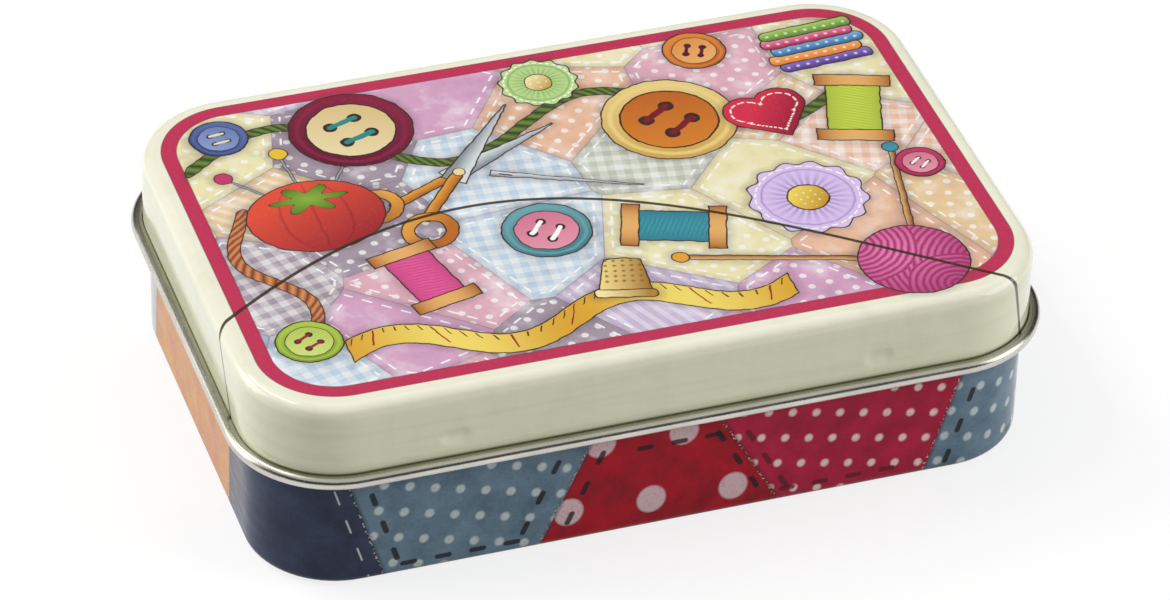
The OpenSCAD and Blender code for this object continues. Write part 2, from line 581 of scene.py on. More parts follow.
# %% Materials
class Finish(Nodes):
    """A material, with places on the piece to start from and varnish to end with."""

    def __init__(self, name, base):
        self.material = bpy.data.materials.new(name)
        self.material.use_nodes = True
        self.material.node_tree.nodes.clear()
        super().__init__(self.material.node_tree, base)

    def places(self):
        """Object coordinates in millimetres."""
        return [part * (1 / MM) for part in self.split(self.node("TexCoord", {})["Object"])]

    def varnish(self, roughness, height, strength, **fixed):
        """Closes the material: the layered colour under varnish, with a fine relief."""
        bump = self.node("Bump", {"Strength": strength, "Distance": MM, "Height": height})[0]
        inputs = {"Base Color": self.colour, "Roughness": roughness, "Normal": bump}
        inputs.update({key.replace("_", " "): value for key, value in fixed.items()})
        self.node("OutputMaterial", {0: self.node("BsdfPrincipled", inputs)[0]})
        return self.material


# %% Stamps
line_brown = "#3B2A22"


class Stamp(Nodes):
    """A node group with its own sizes and colours as named inputs."""

    def __init__(self, name, inputs):
        super().__init__(bpy.data.node_groups.new(name, "ShaderNodeTree"), line_brown)
        self.edge = None
        for key, value in inputs.items():
            self.socket(key, "Color" if isinstance(value, str) else "Float").default_value = tint(value)
        entry = self.tree.nodes.new("NodeGroupInput").outputs
        self.given = [s if s.type == "RGBA" else Num(self, s) for s in (entry[key] for key in inputs)]

    def draw(self, edge, colour, line=0.16):
        """A shape in its colour with a thin dark outline."""
        self.cover(line_brown, (edge - line).ink())
        self.cover(colour, (edge + line * 0.3).ink())
        rim = edge - line
        self.edge = rim if self.edge is None else self.edge.least(rim)

    def close(self, outputs):
        leave = self.tree.nodes.new("NodeGroupOutput")
        for key, value in outputs.items():
            self.socket(key, "Float" if isinstance(value, Num) else "Color", "OUTPUT")
            self.wire(leave.inputs[key], value)


def stamp(**inputs):
    """Makes a node group of the drawing below it, whose arguments are a place and these inputs."""
    def build(drawing):
        art = Stamp(drawing.__name__, {"x": 0.0, "y": 0.0, **inputs})
        outputs = drawing(art, *art.given)
        art.close(outputs or {"colour": art.colour, "edge": art.edge})
        print(drawing.__name__, "has", len(art.tree.nodes), "nodes")
        return art.tree
    return build


# %% [markdown]
# ## Distances
# A printed shape is drawn from the distance to its edge: negative inside, positive outside. Such distances
# give crisp edges, outlines and soft shadows alike, and a few of them make all the things on the lid.

# %% Distances to edges
def placed(x, y, spot, turn=0.0):
    """The plane's coordinates seen from a spot, turned by an angle in degrees."""
    c, s = math.cos(math.radians(turn)), math.sin(math.radians(turn))
    along = x.times_add(c, y.times_add(s, -spot[0] * c - spot[1] * s))
    across = x.times_add(-s, y.times_add(c, spot[0] * s - spot[1] * c))
    return along, across


def reach(x, y):
    """Distance from the origin."""
    return x.times_add(x, y * y).root()


def slab(x, y, half_x, half_y):
    """Distance to a rectangle's edge."""
    return (x.size() - half_x).most(y.size() - half_y)


def rod(x, y, half, r):
    """Distance to the edge of a bar with round ends that lies along x."""
    return reach((x.size() - half).most(0.0), y) - r


def round_slab(x, y, half_x, half_y, r):
    """Distance to a rounded rectangle's edge."""
    qx = x.size() - (half_x - r)
    qy = y.size() - (half_y - r)
    return reach(qx.most(0.0), qy.most(0.0)) + qx.most(qy).least(0.0) - r


def wavy(x, y, swing, wave):
    """Distance to a wave along x, counted upwards, and the slope of the wave."""
    rate = wave.power(-1.0) * (2 * math.pi)
    slope = (x * rate).cosine() * rate * swing
    return (y - (x * rate).sine() * swing) / slope.times_add(slope, 1.0).root(), slope


# %% [markdown]
# ## Bare tinplate
# Where the sheet isn't printed it is tin over steel: bright, a little warm, and finely scratched along the
# rolling direction. Stretched noise gives the scratches to the colour, the roughness and, very slightly, to
# the relief. On the lid's curl they run along the edge, and painted shade darkens the curl's upper side,
# in the groove against the skirt, and its lower half.

# %% Tinplate
def make_tinplate(name, base, roughness, curled=False):
    """Bare sheet. On the lid's curl the streaks follow the edge, with painted shade on its upper side and
    lower half.
    """
    metal = Finish(name, base)
    x, y, z = metal.places()
    across = 0.06 if curled else 0.9
    streaks = metal.noise(metal.vector(x * 0.06, y * across, z * 0.9), 2.2, 3.0)
    cloud = metal.noise(metal.vector(x, y, z), 0.12, 2.0)
    metal.cover("#B0ADA5", cloud.rise(2.0, -0.5) * 0.6)
    metal.cover("#77746E", streaks.rise(3.0, -1.75) * 0.4)
    if curled:
        # Painted shade: olive on the curl's upper side, in the groove against the skirt, and grey on its
        # lower half
        metal.cover("#8C8B70", (z - curl_z).rise(2.6, -0.9) * 0.6)
        metal.cover("#8F8E88", (curl_z - z).rise(1.2, -0.1) * 0.25)
    return metal.varnish(roughness + streaks * 0.14, streaks, 0.02, Metallic=1.0)


tinplate = make_tinplate("tinplate", "#C4C1BA", 0.15)
curl_tinplate = make_tinplate("curl_tinplate", "#D8D5CE", 0.2, True)
print("tinplate nodes:", len(tinplate.node_tree.nodes))

# %% [markdown]
# ## The quilt on the lid
# The lid is enamelled cream. A crimson border with round corners frames a quilt of pale patches, drawn like
# a watercolour: each patch has its own colour and pattern, and white running stitches along its edges.
# Cells of a Voronoi pattern make the patches. The two nearest cell centres give the distance to the seam
# and the way along it, which is what a row of stitches needs.

# %% Quilt stamp
patch_size = 17.0
quilt_colours = ["#CDBBD8", "#EDBE9E", "#D8A6C6", "#A898A6", "#BFD3E4", "#EFE6B4", "#E3B0BE", "#B4C3DA",
                 "#BFC6B2", "#EACB9C"]


@stamp()
def quilt(art, x, y):
    """Patches with dots, gingham, stripes or nothing, and white stitches beside the seams."""
    where = art.vector(x / patch_size, y / patch_size)
    cells = [art.node("TexVoronoi", {"Vector": where, "Scale": 1.0, "Randomness": 0.85},
                      feature=feature, voronoi_dimensions="2D") for feature in ("F1", "F2")]
    near, second = (cell["Position"] for cell in cells)
    between = art.node("VectorMath", {0: second, 1: near}, operation="SUBTRACT")[0]
    square = art.node("VectorMath", {0: between}, operation="NORMALIZE")[0]
    centre = art.node("Mix", {0: 0.5, 4: near, 5: second}, data_type="VECTOR")[1]
    offset = art.node("VectorMath", {0: centre, 1: where}, operation="SUBTRACT")[0]
    to_seam = art.number("VectorMath", "Value", {0: offset, 1: square}, operation="DOT_PRODUCT")
    to_seam = to_seam * patch_size
    sx, sy, _ = art.split(square)
    along = x * sy - y * sx
    pick, kind, twist = art.numbers(art.node("SeparateColor", {0: cells[0]["Color"]}))
    patch = art.node("ValToRGB", {0: pick}, stops=quilt_colours)[0]
    angle = twist * 3.0
    c, s = angle.cosine(), angle.sine()
    u, v = x * c + y * s, y * c - x * s
    dots = (reach(u.apart(2.5), v.apart(2.5)) - 0.48).ink(0.15) * kind.under(0.42) * 0.75
    checks = (u.apart(2.2).over(0.55) + v.apart(2.2).over(0.55)) * kind.over(0.42) * kind.under(0.68) * 0.3
    stripes = u.apart(1.7).over(0.45) * kind.over(0.68) * kind.under(0.8) * 0.35
    art.colour = art.mix(patch, "#FBFAF5", dots.most(checks).most(stripes))
    art.cover("#8E7F8C", (to_seam - 0.55).ink(1.4) * 0.35)
    art.cover("#6F5F6A", (to_seam - 0.05).ink(0.12) * 0.7)
    art.cover("#FFFFFF", rod(along.apart(2.7), to_seam - 1.15, 0.6, 0.14).ink() * 0.9)
    wash = art.noise(art.vector(x, y), 0.16, 4.0, 0.6)
    art.cover("#FFFFFF", wash.rise(2.4, -1.2))
    art.cover("#8C7B8E", wash.rise(-1.6, 0.75))
    return {"colour": art.colour}


# %% [markdown]
# ## Sewing things on the quilt
# Buttons, spools, a pincushion, scissors, a tape measure, a needle, cords, knitting needles and a ball of
# yarn lie on the quilt, with gathered rosettes, a felt heart, folded cloths and a thimble. Each is a stamp
# with a light and a dark shade of its colour, mixed across it as a painter would.

# %% Button stamp
@stamp(radius=5.0, rim="#8C2444", rim_dark="#5E1630", face="#F1E2B4", face_dark="#D8B878", thread="#2F8C8C")
def button(art, u, v, r, rim, rim_dark, face, face_dark, thread):
    """A button with a raised rim and four holes, sewn on with two stitches."""
    away = reach(u, v)
    lit = ((u + v) / (3.2 * r)).rise(1.0, 0.5)
    art.draw(away - r, art.mix(rim_dark, rim, lit))
    art.cover(rim, ((away - 0.87 * r).size() - 0.04 * r).ink(0.3) * 0.8)
    art.cover(line_brown, (away - 0.74 * r).ink())
    art.cover(art.mix(face, face_dark, lit), (away - 0.71 * r).ink())
    hole_u, hole_v = u.size() - 0.24 * r, v.size() - 0.24 * r
    art.cover(line_brown, (reach(hole_u, hole_v) - 0.12 * r).ink())
    art.cover(thread, rod(u, hole_v, 0.24 * r, 0.055 * r).ink())


# %% Spool stamp
@stamp(tall=13.0, wide=8.6, thread="#E65A9A", thread_dark="#A92565")
def spool(art, u, v, tall, wide, thread, thread_dark):
    """A wooden spool seen from the side, wound with thread."""
    flange = tall * 0.13
    bulge = (u / (wide * 0.45)).power(2.0) * 0.75
    lines = (v + u * 0.25).apart(0.62).over(0.2) * 0.35
    wound = slab(u, v, wide * 0.37, tall * 0.5 - flange)
    art.draw(wound, art.mix(thread, thread_dark, bulge.most(lines)))
    ends = slab(u, v.size() - (tall - flange) * 0.5, wide * 0.5, flange * 0.5)
    art.draw(ends - 0.25, art.mix("#E9B26A", "#B06A2E", bulge))


# %% Pincushion stamp
@stamp(radius=9.4)
def pincushion(art, x, y, r):
    """A stuffed red cushion with seams, a green felt star and three pins."""
    for lean, head in ((-34, "#2F7F8C"), (4, "#E8C33A"), (40, "#C73B6B")):
        u, v = placed(x, y, (0, 0), lean)
        art.draw(slab(u, v - 1.18 * r, 0.16, 0.42 * r), "#9AA3A8", 0.08)
        art.draw(reach(u, v - 1.62 * r) - 0.13 * r, head, 0.12)
    squat = y * 1.18
    bulge = (1 - (squat / r).power(2.0)).most(0.02).root()
    seam = (x / bulge).apart(0.5 * r)
    lit = ((x * 0.5 - y) / r).rise(0.6, 0.4)
    cushion = reach(x, squat) - r
    art.draw(cushion, art.mix("#E4503A", "#9C2430", lit))
    art.cover("#7C1B27", (seam - 0.1).ink(0.5) * (cushion + 0.3).ink() * 0.6)
    above = (y - 0.42 * r) * 1.7
    away = reach(x, above)
    points = (above.angle(x) * 6.0).cosine()
    star = away - points.times_add(0.16, 0.42) * r
    art.draw(star, art.mix("#8DB33A", "#4E7A24", (away / r).rise(1.6, 0.0)), 0.14)


# %% Scissors stamp
@stamp()
def scissors(art, x, y):
    """Open embroidery scissors: two blades, two shanks and two ring handles."""
    for side in (-1, 1):
        u, v = placed(x, y, (0, 0), 13 * side)
        blade = (v.size() - (1 - u / 17.0) * 1.5).most(-u - 2.0).most(u - 16.5)
        art.draw(blade, art.mix("#D9DEE0", "#8D979D", v.rise(side * 0.6, 0.5)))
        art.draw(rod(u + 6.0, v, 5.0, 0.75), art.mix("#B4661F", "#E9A13B", v.rise(0.7, 0.5)))
        ring = (reach(u + 13.4, (v + side * 1.4) * 1.1) - 3.1).size() - 0.85
        art.draw(ring, art.mix("#BC6D22", "#EFAE4A", v.rise(0.15, 0.5)))
    art.draw(reach(x, y) - 0.75, "#F2D9A0", 0.12)


# %% Tape measure stamp
@stamp(half_length=32.0, swing=3.0, wave=31.0)
def tape_measure(art, x, y, half, swing, wave):
    """A cloth tape that lies in waves, with short ticks and long red ones."""
    across, slope = wavy(x, y, swing, wave)
    edge = (across.size() - 1.9).most(x.size() - half)
    art.draw(edge, art.mix("#F5DC6B", "#DDA62E", slope.rise(0.8, 0.5)))
    along = x - across * slope
    inside = (edge + 0.2).ink()
    art.cover(line_brown, slab(along.apart(1.7), across - 1.25, 0.11, 0.5).ink() * inside)
    art.cover("#9C2430", slab(along.apart(8.5), across - 0.4, 0.14, 1.4).ink() * inside)


# %% Needle stamp
@stamp()
def needle(art, u, v):
    """A darning needle with a long eye."""
    edge = (v.size() - u.times_add(-0.025, 0.3)).most(u.size() - 10.0)
    art.draw(edge, art.mix("#7F8A92", "#E6EAEC", v.rise(1.0, 0.5)), 0.12)
    art.cover(line_brown, rod(u + 8.0, v, 0.8, 0.12).ink())


# %% Cord stamp
@stamp(half_length=30.0, swing=2.0, wave=50.0, light="#6E8A3A", dark="#2E3E1C")
def cord(art, x, y, half, swing, wave, light, dark):
    """A twisted cord that lies in a long wave."""
    across, _ = wavy(x, y, swing, wave)
    twist = (x + across * 1.1).apart(1.5) * 1.5
    art.draw(rod(x, across, half, 0.8), art.mix(dark, light, twist), 0.12)


# %% Knitting stamps
@stamp(half_length=15.0, bead="#C73B6B")
def knitting_needle(art, u, v, half, bead):
    """A wooden knitting needle with a bead on its end."""
    art.draw(rod(u, v, half, 0.42), art.mix("#8A5426", "#E8B678", v.rise(1.2, 0.5)), 0.12)
    art.draw(reach(u - half, v) - 1.05, bead, 0.14)


@stamp(radius=6.5, light="#F07FB4", dark="#9C2463")
def yarn(art, u, v, r, light, dark):
    """A ball of yarn: bundles of strands, each wound across the one below."""
    ball = reach(u, v) - r
    strands = (reach(u - 1.3 * r, v + 0.4 * r)).apart(0.9)
    for bundle_u, bundle_v, turn in ((0.5, -0.9, 0.9), (-0.9, 0.7, 1.15)):
        away = reach(u - bundle_u * r, v - bundle_v * r)
        crossing = (away - turn * r).under(0.0)
        strands = strands + crossing * (away.apart(0.9) - strands)
    shade = (reach(u + 0.25 * r, v - 0.3 * r) / r).rise(0.8, -0.15)
    strand = art.mix(dark, light, strands.rise(2.6, 0.0))
    art.draw(ball, art.mix(strand, dark, shade * 0.8))


# %% Rosette stamp
@stamp(radius=8.0, light="#DDC6F0", dark="#8461B0", heart="#F6D860", heart_dark="#C99A2A")
def rosette(art, u, v, r, light, dark, heart, heart_dark):
    """A circle of cloth gathered in folds, with a bead in its middle."""
    away, angle = reach(u, v), v.angle(u)
    scallop = (angle * 13.0).cosine()
    folds = (angle * 26.0).sine().rise(0.5, 0.5)
    inwards = (away / r).rise(-1.5, 1.2)
    art.draw(away - r * (scallop * 0.045 + 0.95), art.mix(light, dark, folds * inwards * 0.9))
    art.cover(dark, ((away - 0.76 * r).size() - 0.1).ink(0.3) * 0.7)
    art.cover("#FFFFFF", rod((angle * 6.0).apart(1.2), away - 0.86 * r, 0.3, 0.12).ink() * 0.9)
    art.cover(line_brown, (away - 0.36 * r).ink())
    art.cover(art.mix(heart, heart_dark, ((u - v) / r).rise(1.2, 0.5)), (away - 0.33 * r).ink())
    art.cover("#FFFFFF", (reach(u.apart(1.1), v.apart(1.1)) - 0.16).ink() * (away - 0.27 * r).ink() * 0.6)


# %% Felt and folded cloth
@stamp(size=11.0, light="#D9304E", dark="#8E1432")
def heart(art, x, y, size, light, dark):
    """A felt heart with a running stitch inside its edge."""
    u, v = x.size(), y + size * 0.5
    lobe = reach(u - size * 0.25, v - size * 0.75) - size * 0.354
    point = (u + (v - size * 0.5).size() - size * 0.5) * 0.707
    edge = lobe.least(point)
    art.draw(edge, art.mix(light, dark, ((x - y) / size).rise(0.9, 0.4)))
    dashes = (y.angle(x) * 4.5).apart(1.0)
    art.cover("#FBF3E4", rod(dashes, edge + 1.0, 0.24, 0.13).ink() * 0.95)


@stamp()
def folded_cloths(art, x, y):
    """A pile of folded cloths."""
    pile = (("#5B3F96", "#8D72C4", 0.3), ("#E8842E", "#F6B465", -0.5), ("#2F6FA8", "#7FB2DC", 0.6),
            ("#B82A5A", "#EE86A8", -0.2), ("#5E8F36", "#A9CC62", 0.4))
    for number, (dark, light, shift) in enumerate(pile):
        u, v = x - shift, y - (number - 2) * 1.9
        spots = (reach(u.apart(1.4), (v + 0.1).apart(1.4)) - 0.24).ink(0.2) * 0.6
        folded = art.mix(art.mix(dark, light, v.rise(0.6, 0.5)), "#FFFFFF", spots)
        art.draw(round_slab(u, v, 6.6, 1.05, 0.9), folded)


# %% Thimble stamp
@stamp()
def thimble(art, x, y):
    """A brass thimble with rows of dimples."""
    lit = x.rise(0.17, 0.5)
    cap = (x.size() + y * 0.16 - 2.9).most(reach(x * 0.8, y.most(-1.5) + 0.6) - 4.4).most(-y - 3.6)
    brass = art.mix("#F7DC8E", "#A8762A", lit)
    dents = (reach(x.apart(1.1), y.apart(1.1)) - 0.24).ink(0.2) * y.over(-1.6)
    art.draw(cap, art.mix(brass, "#8A5E22", dents * 0.8))
    art.draw(round_slab(x, y + 3.7, 4.0, 0.75, 0.6), art.mix("#FBE7A8", "#B58434", lit))


# %% [markdown]
# ## The lid's print
# The lowest things are printed first, then those that lie on them. Their outlines waver a little, as drawn
# ones do, because they are stamped in places that a noise pushes about. The dark thread is a wave that runs
# off over both front corners and leans as it goes down the skirt.

# %% Layout of the lid
# Stamp, place, turn in degrees, then the stamp's own inputs in its order, as far as they differ
things = [
    (cord, (-3.0, 17.0), -5, 44.5, 6.0, 43.0),
    (cord, (-43.5, -7.0), 98, 15.5, 2.6, 24.0, "#D98E5A", "#7C3A22"),
    (knitting_needle, (39.6, -12.8), 78, 11.8, "#3E97A8"),
    (knitting_needle, (22.4, -21.0), 163, 15.5, "#E8A33A"),
    (rosette, (2.2, 26.0), 0, 5.4, "#BCDB90", "#5E8F36", "#F6E9A8", "#C9A24C"),
    (folded_cloths, (40.5, 24.0), 4),
    (tape_measure, (-9.5, -24.6), 0, 29.0),
    (scissors, (-14.0, 9.5), 38),
    (pincushion, (-34.5, 5.5), 0, 9.0),
    (spool, (-25.0, -11.0), 14),
    (spool, (40.6, 8.6), -18, 14.5, 9.6, "#C8D94E", "#7F9A2A"),
    (spool, (9.0, -9.8), 71, 13.0, 8.6, "#3E97A8", "#1E5A6E"),
    (button, (-24.8, 22.6), 20, 8.2),
    (button, (16.2, 13.0), 35, 9.0, "#EFD68A", "#CFA24A", "#E08A2E", "#B85A1C", "#7C1B27"),
    (button, (-7.0, -6.0), 50, 5.8, "#6FA8B0", "#3C7580", "#EFA0B4", "#D06A8A", "#FFFFFF"),
    (button, (-42.8, -20.0), 30, 4.2, "#B4CC4A", "#789A2C", "#DDE88C", "#A9C048", "#9C2430"),
    (button, (24.6, 27.2), 65, 4.2, "#E58A3A", "#B35A1E", "#F6B873", "#DD8A3C", "#5E1630"),
    (button, (-42.0, 25.6), 10, 3.8, "#5B6FA8", "#33427A", "#93A5D2", "#5F74B0", "#F1E2B4"),
    (button, (44.6, -5.6), 40, 3.2, "#C73B6B", "#8C2444", "#EFA0B4", "#D06A8A", "#FFFFFF"),
    (rosette, (27.8, -8.8), 12, 8.0),
    (yarn, (36.2, -25.4), 0, 7.2),
    (heart, (29.6, 9.6), 12, 9.5),
    (thimble, (-0.6, -18.2), -14),
    (needle, (-1.0, 4.0), -24),
]


def stamp_thing(art, x, y, group, spot, turn, *values):
    """Prints one thing with a soft shadow round it."""
    inputs = enumerate((*placed(x, y, spot, turn), *map(tint, values)))
    colour, edge = art.node("Group", dict(inputs), node_tree=group)
    edge = Num(art, edge)
    art.cover("#57424C", (edge - 0.5).ink(1.6) * 0.4)
    art.cover(colour, edge.ink())


print("things on the lid:", len(things))

# %% Enamel and border
cream = "#F3F1DB"
border_half = (50.45, 32.3)
border_middle = (0.12, 0.26)
border_r = 10.2
border_w = 2.0


def lay_cream(art, x, y, z):
    """Uneven enamel, faint drawing marks, a painted green shade on the skirt and painted shade over the
    curl.
    """
    tone = art.noise(art.vector(x * 0.4, y * 0.4, z * 0.15), 0.5, 3.0, 0.6)
    enamel = art.mix(cream, "#D2D3B4", tone.rise(1.8, -0.8) * 0.5)
    on_skirt = (tin_h - z).rise(0.5, -0.2)
    # Painted shade: the skirt takes a green tint, the colour of the enamel in shade
    enamel = art.mix(enamel, "#CBE576", on_skirt * 0.15)
    marks = art.noise(art.vector(x * 0.03, y * 0.03, z * 0.8), 1.0, 2.0, 0.5)
    enamel = art.mix(enamel, "#C3C4A4", marks.rise(3.0, -1.5) * on_skirt * 0.22)
    # Painted shade: a soft olive band and a dark line in the groove over the curl, weaker on the left side
    over_curl = z - (curl_z + lid_curl_r)
    groove_shade_weight = (x + lid_l / 2).rise(0.2, 0.25)
    enamel = art.mix(enamel, "#8E8E6C", over_curl.rise(-1.6, 0.75) * groove_shade_weight * 0.5)
    return art.mix(enamel, "#3E3F2A", over_curl.rise(-5.0, 0.4) * groove_shade_weight * 0.75)


def lay_border(art, x, y, z):
    """Cream outside, then the crimson band with a dark line along each edge."""
    inside = round_slab(x - border_middle[0], y - border_middle[1], *border_half, border_r)
    in_band = (inside + border_w / 2).size() - border_w / 2
    art.colour = art.mix(lay_cream(art, x, y, z), art.colour, (inside + border_w / 2).ink())
    art.cover("#C43358", in_band.ink(0.12))
    art.cover("#7E1E3A", (in_band.size() - 0.07).ink(0.14) * 0.75)


# %% Thread
thread_middle = -15.0
thread_rate = 0.03
thread_swing = 27.0
thread_level = -25.2
thread_half = 0.27
thread_end_y = 8.0
# How far the thread leans along x and y for each millimetre down the skirt
left_lean = (0.0, 0.55)
right_lean = (-0.20, -0.14)


def lay_thread(art, x, y, depth):
    """A dark olive thread that arches over the quilt and runs down both front corners of the skirt."""
    right = x.over(0.0)
    px, py = (place + depth * right.times_add(at_right - at_left, at_left)
              for place, at_left, at_right in zip((x, y), left_lean, right_lean))
    angle = (px - thread_middle) * thread_rate
    slope = angle.sine() * (-thread_swing * thread_rate)
    rise = py - thread_level - angle.cosine() * thread_swing
    edge = (rise / slope.times_add(slope, 1.0).root()).size() - thread_half
    art.cover("#352E14", edge.ink() * y.under(thread_end_y) * 0.95)


# %% Lid finish
hand_wobble = 0.5
# The things are printed on the top alone, down to this height
things_low_z = tin_h - 0.6


def make_lid_print():
    """The lid's outside from below upwards: quilt, border and enamel, things, thread, and varnish."""
    art = Finish("lid_print", cream)
    x, y, z = art.places()
    flat = art.vector(x, y)
    shake = art.node("TexNoise", {"Vector": flat, "Scale": 0.55, "Detail": 2.0})["Color"]
    shake_x, shake_y, _ = art.numbers(art.node("SeparateColor", {0: shake}))
    hand_x = x + (shake_x - 0.5) * hand_wobble
    hand_y = y + (shake_y - 0.5) * hand_wobble
    art.colour = art.node("Group", {"x": x, "y": y}, node_tree=quilt)[0]
    lay_border(art, x, y, z)
    plain = art.colour
    for thing in things:
        stamp_thing(art, hand_x, hand_y, *thing)
    art.colour = art.mix(plain, art.colour, z.over(things_low_z))
    lay_thread(art, x, y, tin_h - z)
    grain = art.noise(art.vector(x, y, z), 3.0, 3.0)
    art.cover("#C9C6B0", grain.rise(0.7, -0.43))
    ripple = art.noise(art.vector(x * 0.5, y * 0.5, z), 0.35, 2.0)
    return art.varnish(0.26 + ripple * 0.12, ripple, 0.12, Specular_IOR_Level=0.15, Coat_Weight=0.9,
                       Coat_Roughness=0.06)


lid_print = make_lid_print()
print("lid print nodes:", len(lid_print.node_tree.nodes))

# %% [markdown]
# ## The body's print
# The body's wall is printed as a patchwork of cloths: navy, steel blue with small dots, deep red with large
# dots, crimson with small dots, and plainer cloths round the other sides. The seams lean, so each is a line
# in the plane of girth and height, which the mesh carries as a UV map. A cloth covers all that lies past
# its seam, so the cloths are laid in order round the tin. Running stitches lie beside some of the seams and
# along some hems, each row in its cloth's own thread.

# %% Cloth and seam stamps
stitch_pitch = 4.9
stitch_half = 1.14
stitch_r = 0.38
stitch_soft = 0.16


@stamp(light="#71899A", dark="#5A7183", dots="#DDE3E2", dot_r=0.68, pitch=3.45, row=4.05, stagger=0.0,
       strength=0.92)
def cloth(art, x, y, light, dark, dots, dot_r, pitch, row, stagger, strength):
    """A cloth with soft creases, a fine weave and round dots in rows."""
    where = art.vector(x, y)
    crease = art.noise(where, 0.2, 3.0, 0.6)
    weave = art.noise(where, 2.2, 2.0)
    plain = art.mix(light, dark, (crease * 2.4 + weave * 0.6).rise(1.0, -1.0))
    number = (y / row).math("ROUND")
    across = (x + number * stagger * pitch).apart(pitch)
    dot = (reach(across, y.apart(row) * 0.91) - dot_r).ink(0.32)
    return {"colour": art.mix(plain, dots, dot * strength * weave.rise(1.4, 0.3))}


@stamp(lean=0.0, before=2.0, after=2.0, shift_before=0.0, shift_after=0.0, thick_before=stitch_r)
def seam(art, x, z, lean, before, after, shift_before, shift_after, thick_before):
    """A leaning seam: where the next cloth starts, the fold line, frayed threads and two stitch rows."""
    slant = lean.times_add(lean, 1.0).root()
    past = (x - z * lean) / slant
    along = (z + x * lean) / slant
    fray = art.noise(art.vector(x, z), 2.4, 2.0)
    loose = ((past + fray * 1.6 - 0.8).size() - 0.1).ink(0.12) * fray.over(0.56)
    row_before, row_after = (
        rod((along - shift).apart(stitch_pitch), away, stitch_half - thick, thick).ink(stitch_soft)
        for shift, away, thick in ((shift_before, past + before, thick_before),
                                   (shift_after, past - after, stitch_r)))
    return {"next": (-past).ink(0.12), "fold": (past.size() - 0.25).ink(0.5), "loose": loose,
            "row_before": row_before, "row_after": row_after}


# %% Cloths
# A cloth: its two shades and its stitches' colour, then its dots, if any: their colour, radius, pitch, row
# pitch and tilt, a place where one lies, and the stagger from row to row
cloths = {
    "navy": ("#3B4763", "#282F47", "#E4E6EA"),
    "steel": ("#7890A3", "#566E80", "#12141C", "#CBD8DA", 0.6, 3.47, 3.98, -16.0, (-23.9, 11.25), 0.11),
    "deep red": ("#C40424", "#8E041C", "#1C0A12", "#E4C9CD", 1.93, 11.1, 10.2, -2.0, (-1.7, 4.66), 0.66),
    "crimson": ("#C81B48", "#A01036", "#6A0A24", "#FFE2DC", 0.53, 3.33, 4.0, -12.5, (17.1, 14.4), 0.0),
    "grey": ("#CFD0CB", "#B4B7B3", "#77706C"),
    "peach": ("#DC961A", "#C87030", "#8A4A22"),
    "lilac": ("#9A8DB6", "#7A6E98", "#3E3560", "#F2EEF6", 0.5, 2.8, 2.8, 30, (0.0, 0.0), 0.0),
}


def weave_cloth(art, girth, z, name):
    """One cloth's colour all over the wall."""
    light, dark, _, *dots = cloths[name]
    inputs = {"x": girth, "y": z, "light": tint(light), "dark": tint(dark), "strength": 0.0}
    if dots:
        colour, r, pitch, row, tilt, spot, stagger = dots
        inputs["x"], inputs["y"] = placed(girth, z, spot, tilt)
        inputs.update(dots=tint(colour), dot_r=r, pitch=pitch, row=row, stagger=stagger, strength=0.92)
    return art.node("Group", inputs, node_tree=cloth)[0]


print("cloths on the body:", *cloths)

# %% Patchwork
seam_z = 8.0
hem_pitch = 4.57
# A seam: girth at seam_z, lean per millimetre of height and the cloth past it, then the stitch rows that it
# has: how far before or after the seam, their shift along it, and a thickness that isn't the usual one
patchwork = [
    (-162.4, 0.0, "peach", {"after": 2.4}),
    (-138.0, 0.38, "deep red", {"after": 2.2}),
    (-113.0, -0.3, "grey", {"before": 2.0}),
    (-101.8, 0.12, "peach", {}),
    (-66.0, 0.05, "navy", {}),
    (-39.4, -0.302, "steel", {"before": 2.0, "shift_before": 2.05, "thick_before": 0.1, "after": 2.2,
                              "shift_after": -0.25}),
    (-13.24, 0.448, "deep red", {"before": 3.2, "shift_before": -1.1, "after": 2.15, "shift_after": 1.5}),
    (11.76, -0.556, "crimson", {"before": 1.4, "shift_before": 1.4, "after": 1.7, "shift_after": -1.3}),
    (37.98, 0.304, "steel", {"after": 2.5, "shift_after": -0.2}),
    (69.0, -0.34, "lilac", {"before": 2.2}),
    (90.0, 0.36, "deep red", {"after": 2.4}),
    (117.0, -0.3, "navy", {"before": 2.2}),
    (140.0, 0.4, "crimson", {"after": 2.3}),
]
# A row of stitches along the wall: its height, shift, the middle and half of its stretch, and its cloth
hem_rows = [
    (1.9, -2.05, -26.5, 9.0, "steel"),
    (13.2, -2.72, 1.5, 6.5, "deep red"),
    (2.2, 3.1, 23.5, 9.0, "crimson"),
    (13.0, 0.0, -126.0, 8.0, "deep red"),
    (2.0, 0.0, 57.0, 8.0, "steel"),
]


def lay_patchwork(art, girth, z):
    """The cloths in order round the tin, with their seams and the stitches beside those."""
    laid = {name: weave_cloth(art, girth, z, name) for name in cloths}
    last = patchwork[-1][2]
    for at, lean, name, rows in patchwork:
        inputs = {"x": girth - at, "y": z - seam_z, "lean": lean, **rows}
        start, fold, loose, *stitches = art.numbers(art.node("Group", inputs, node_tree=seam))
        art.cover(laid[name], start)
        art.cover("#241C22", fold * 0.5)
        art.cover("#D9D6D2", loose * 0.8)
        for side, sewn, row in zip(("before", "after"), (last, name), stitches):
            if side in rows:
                art.cover(cloths[sewn][2], row * 0.9)
        last = name


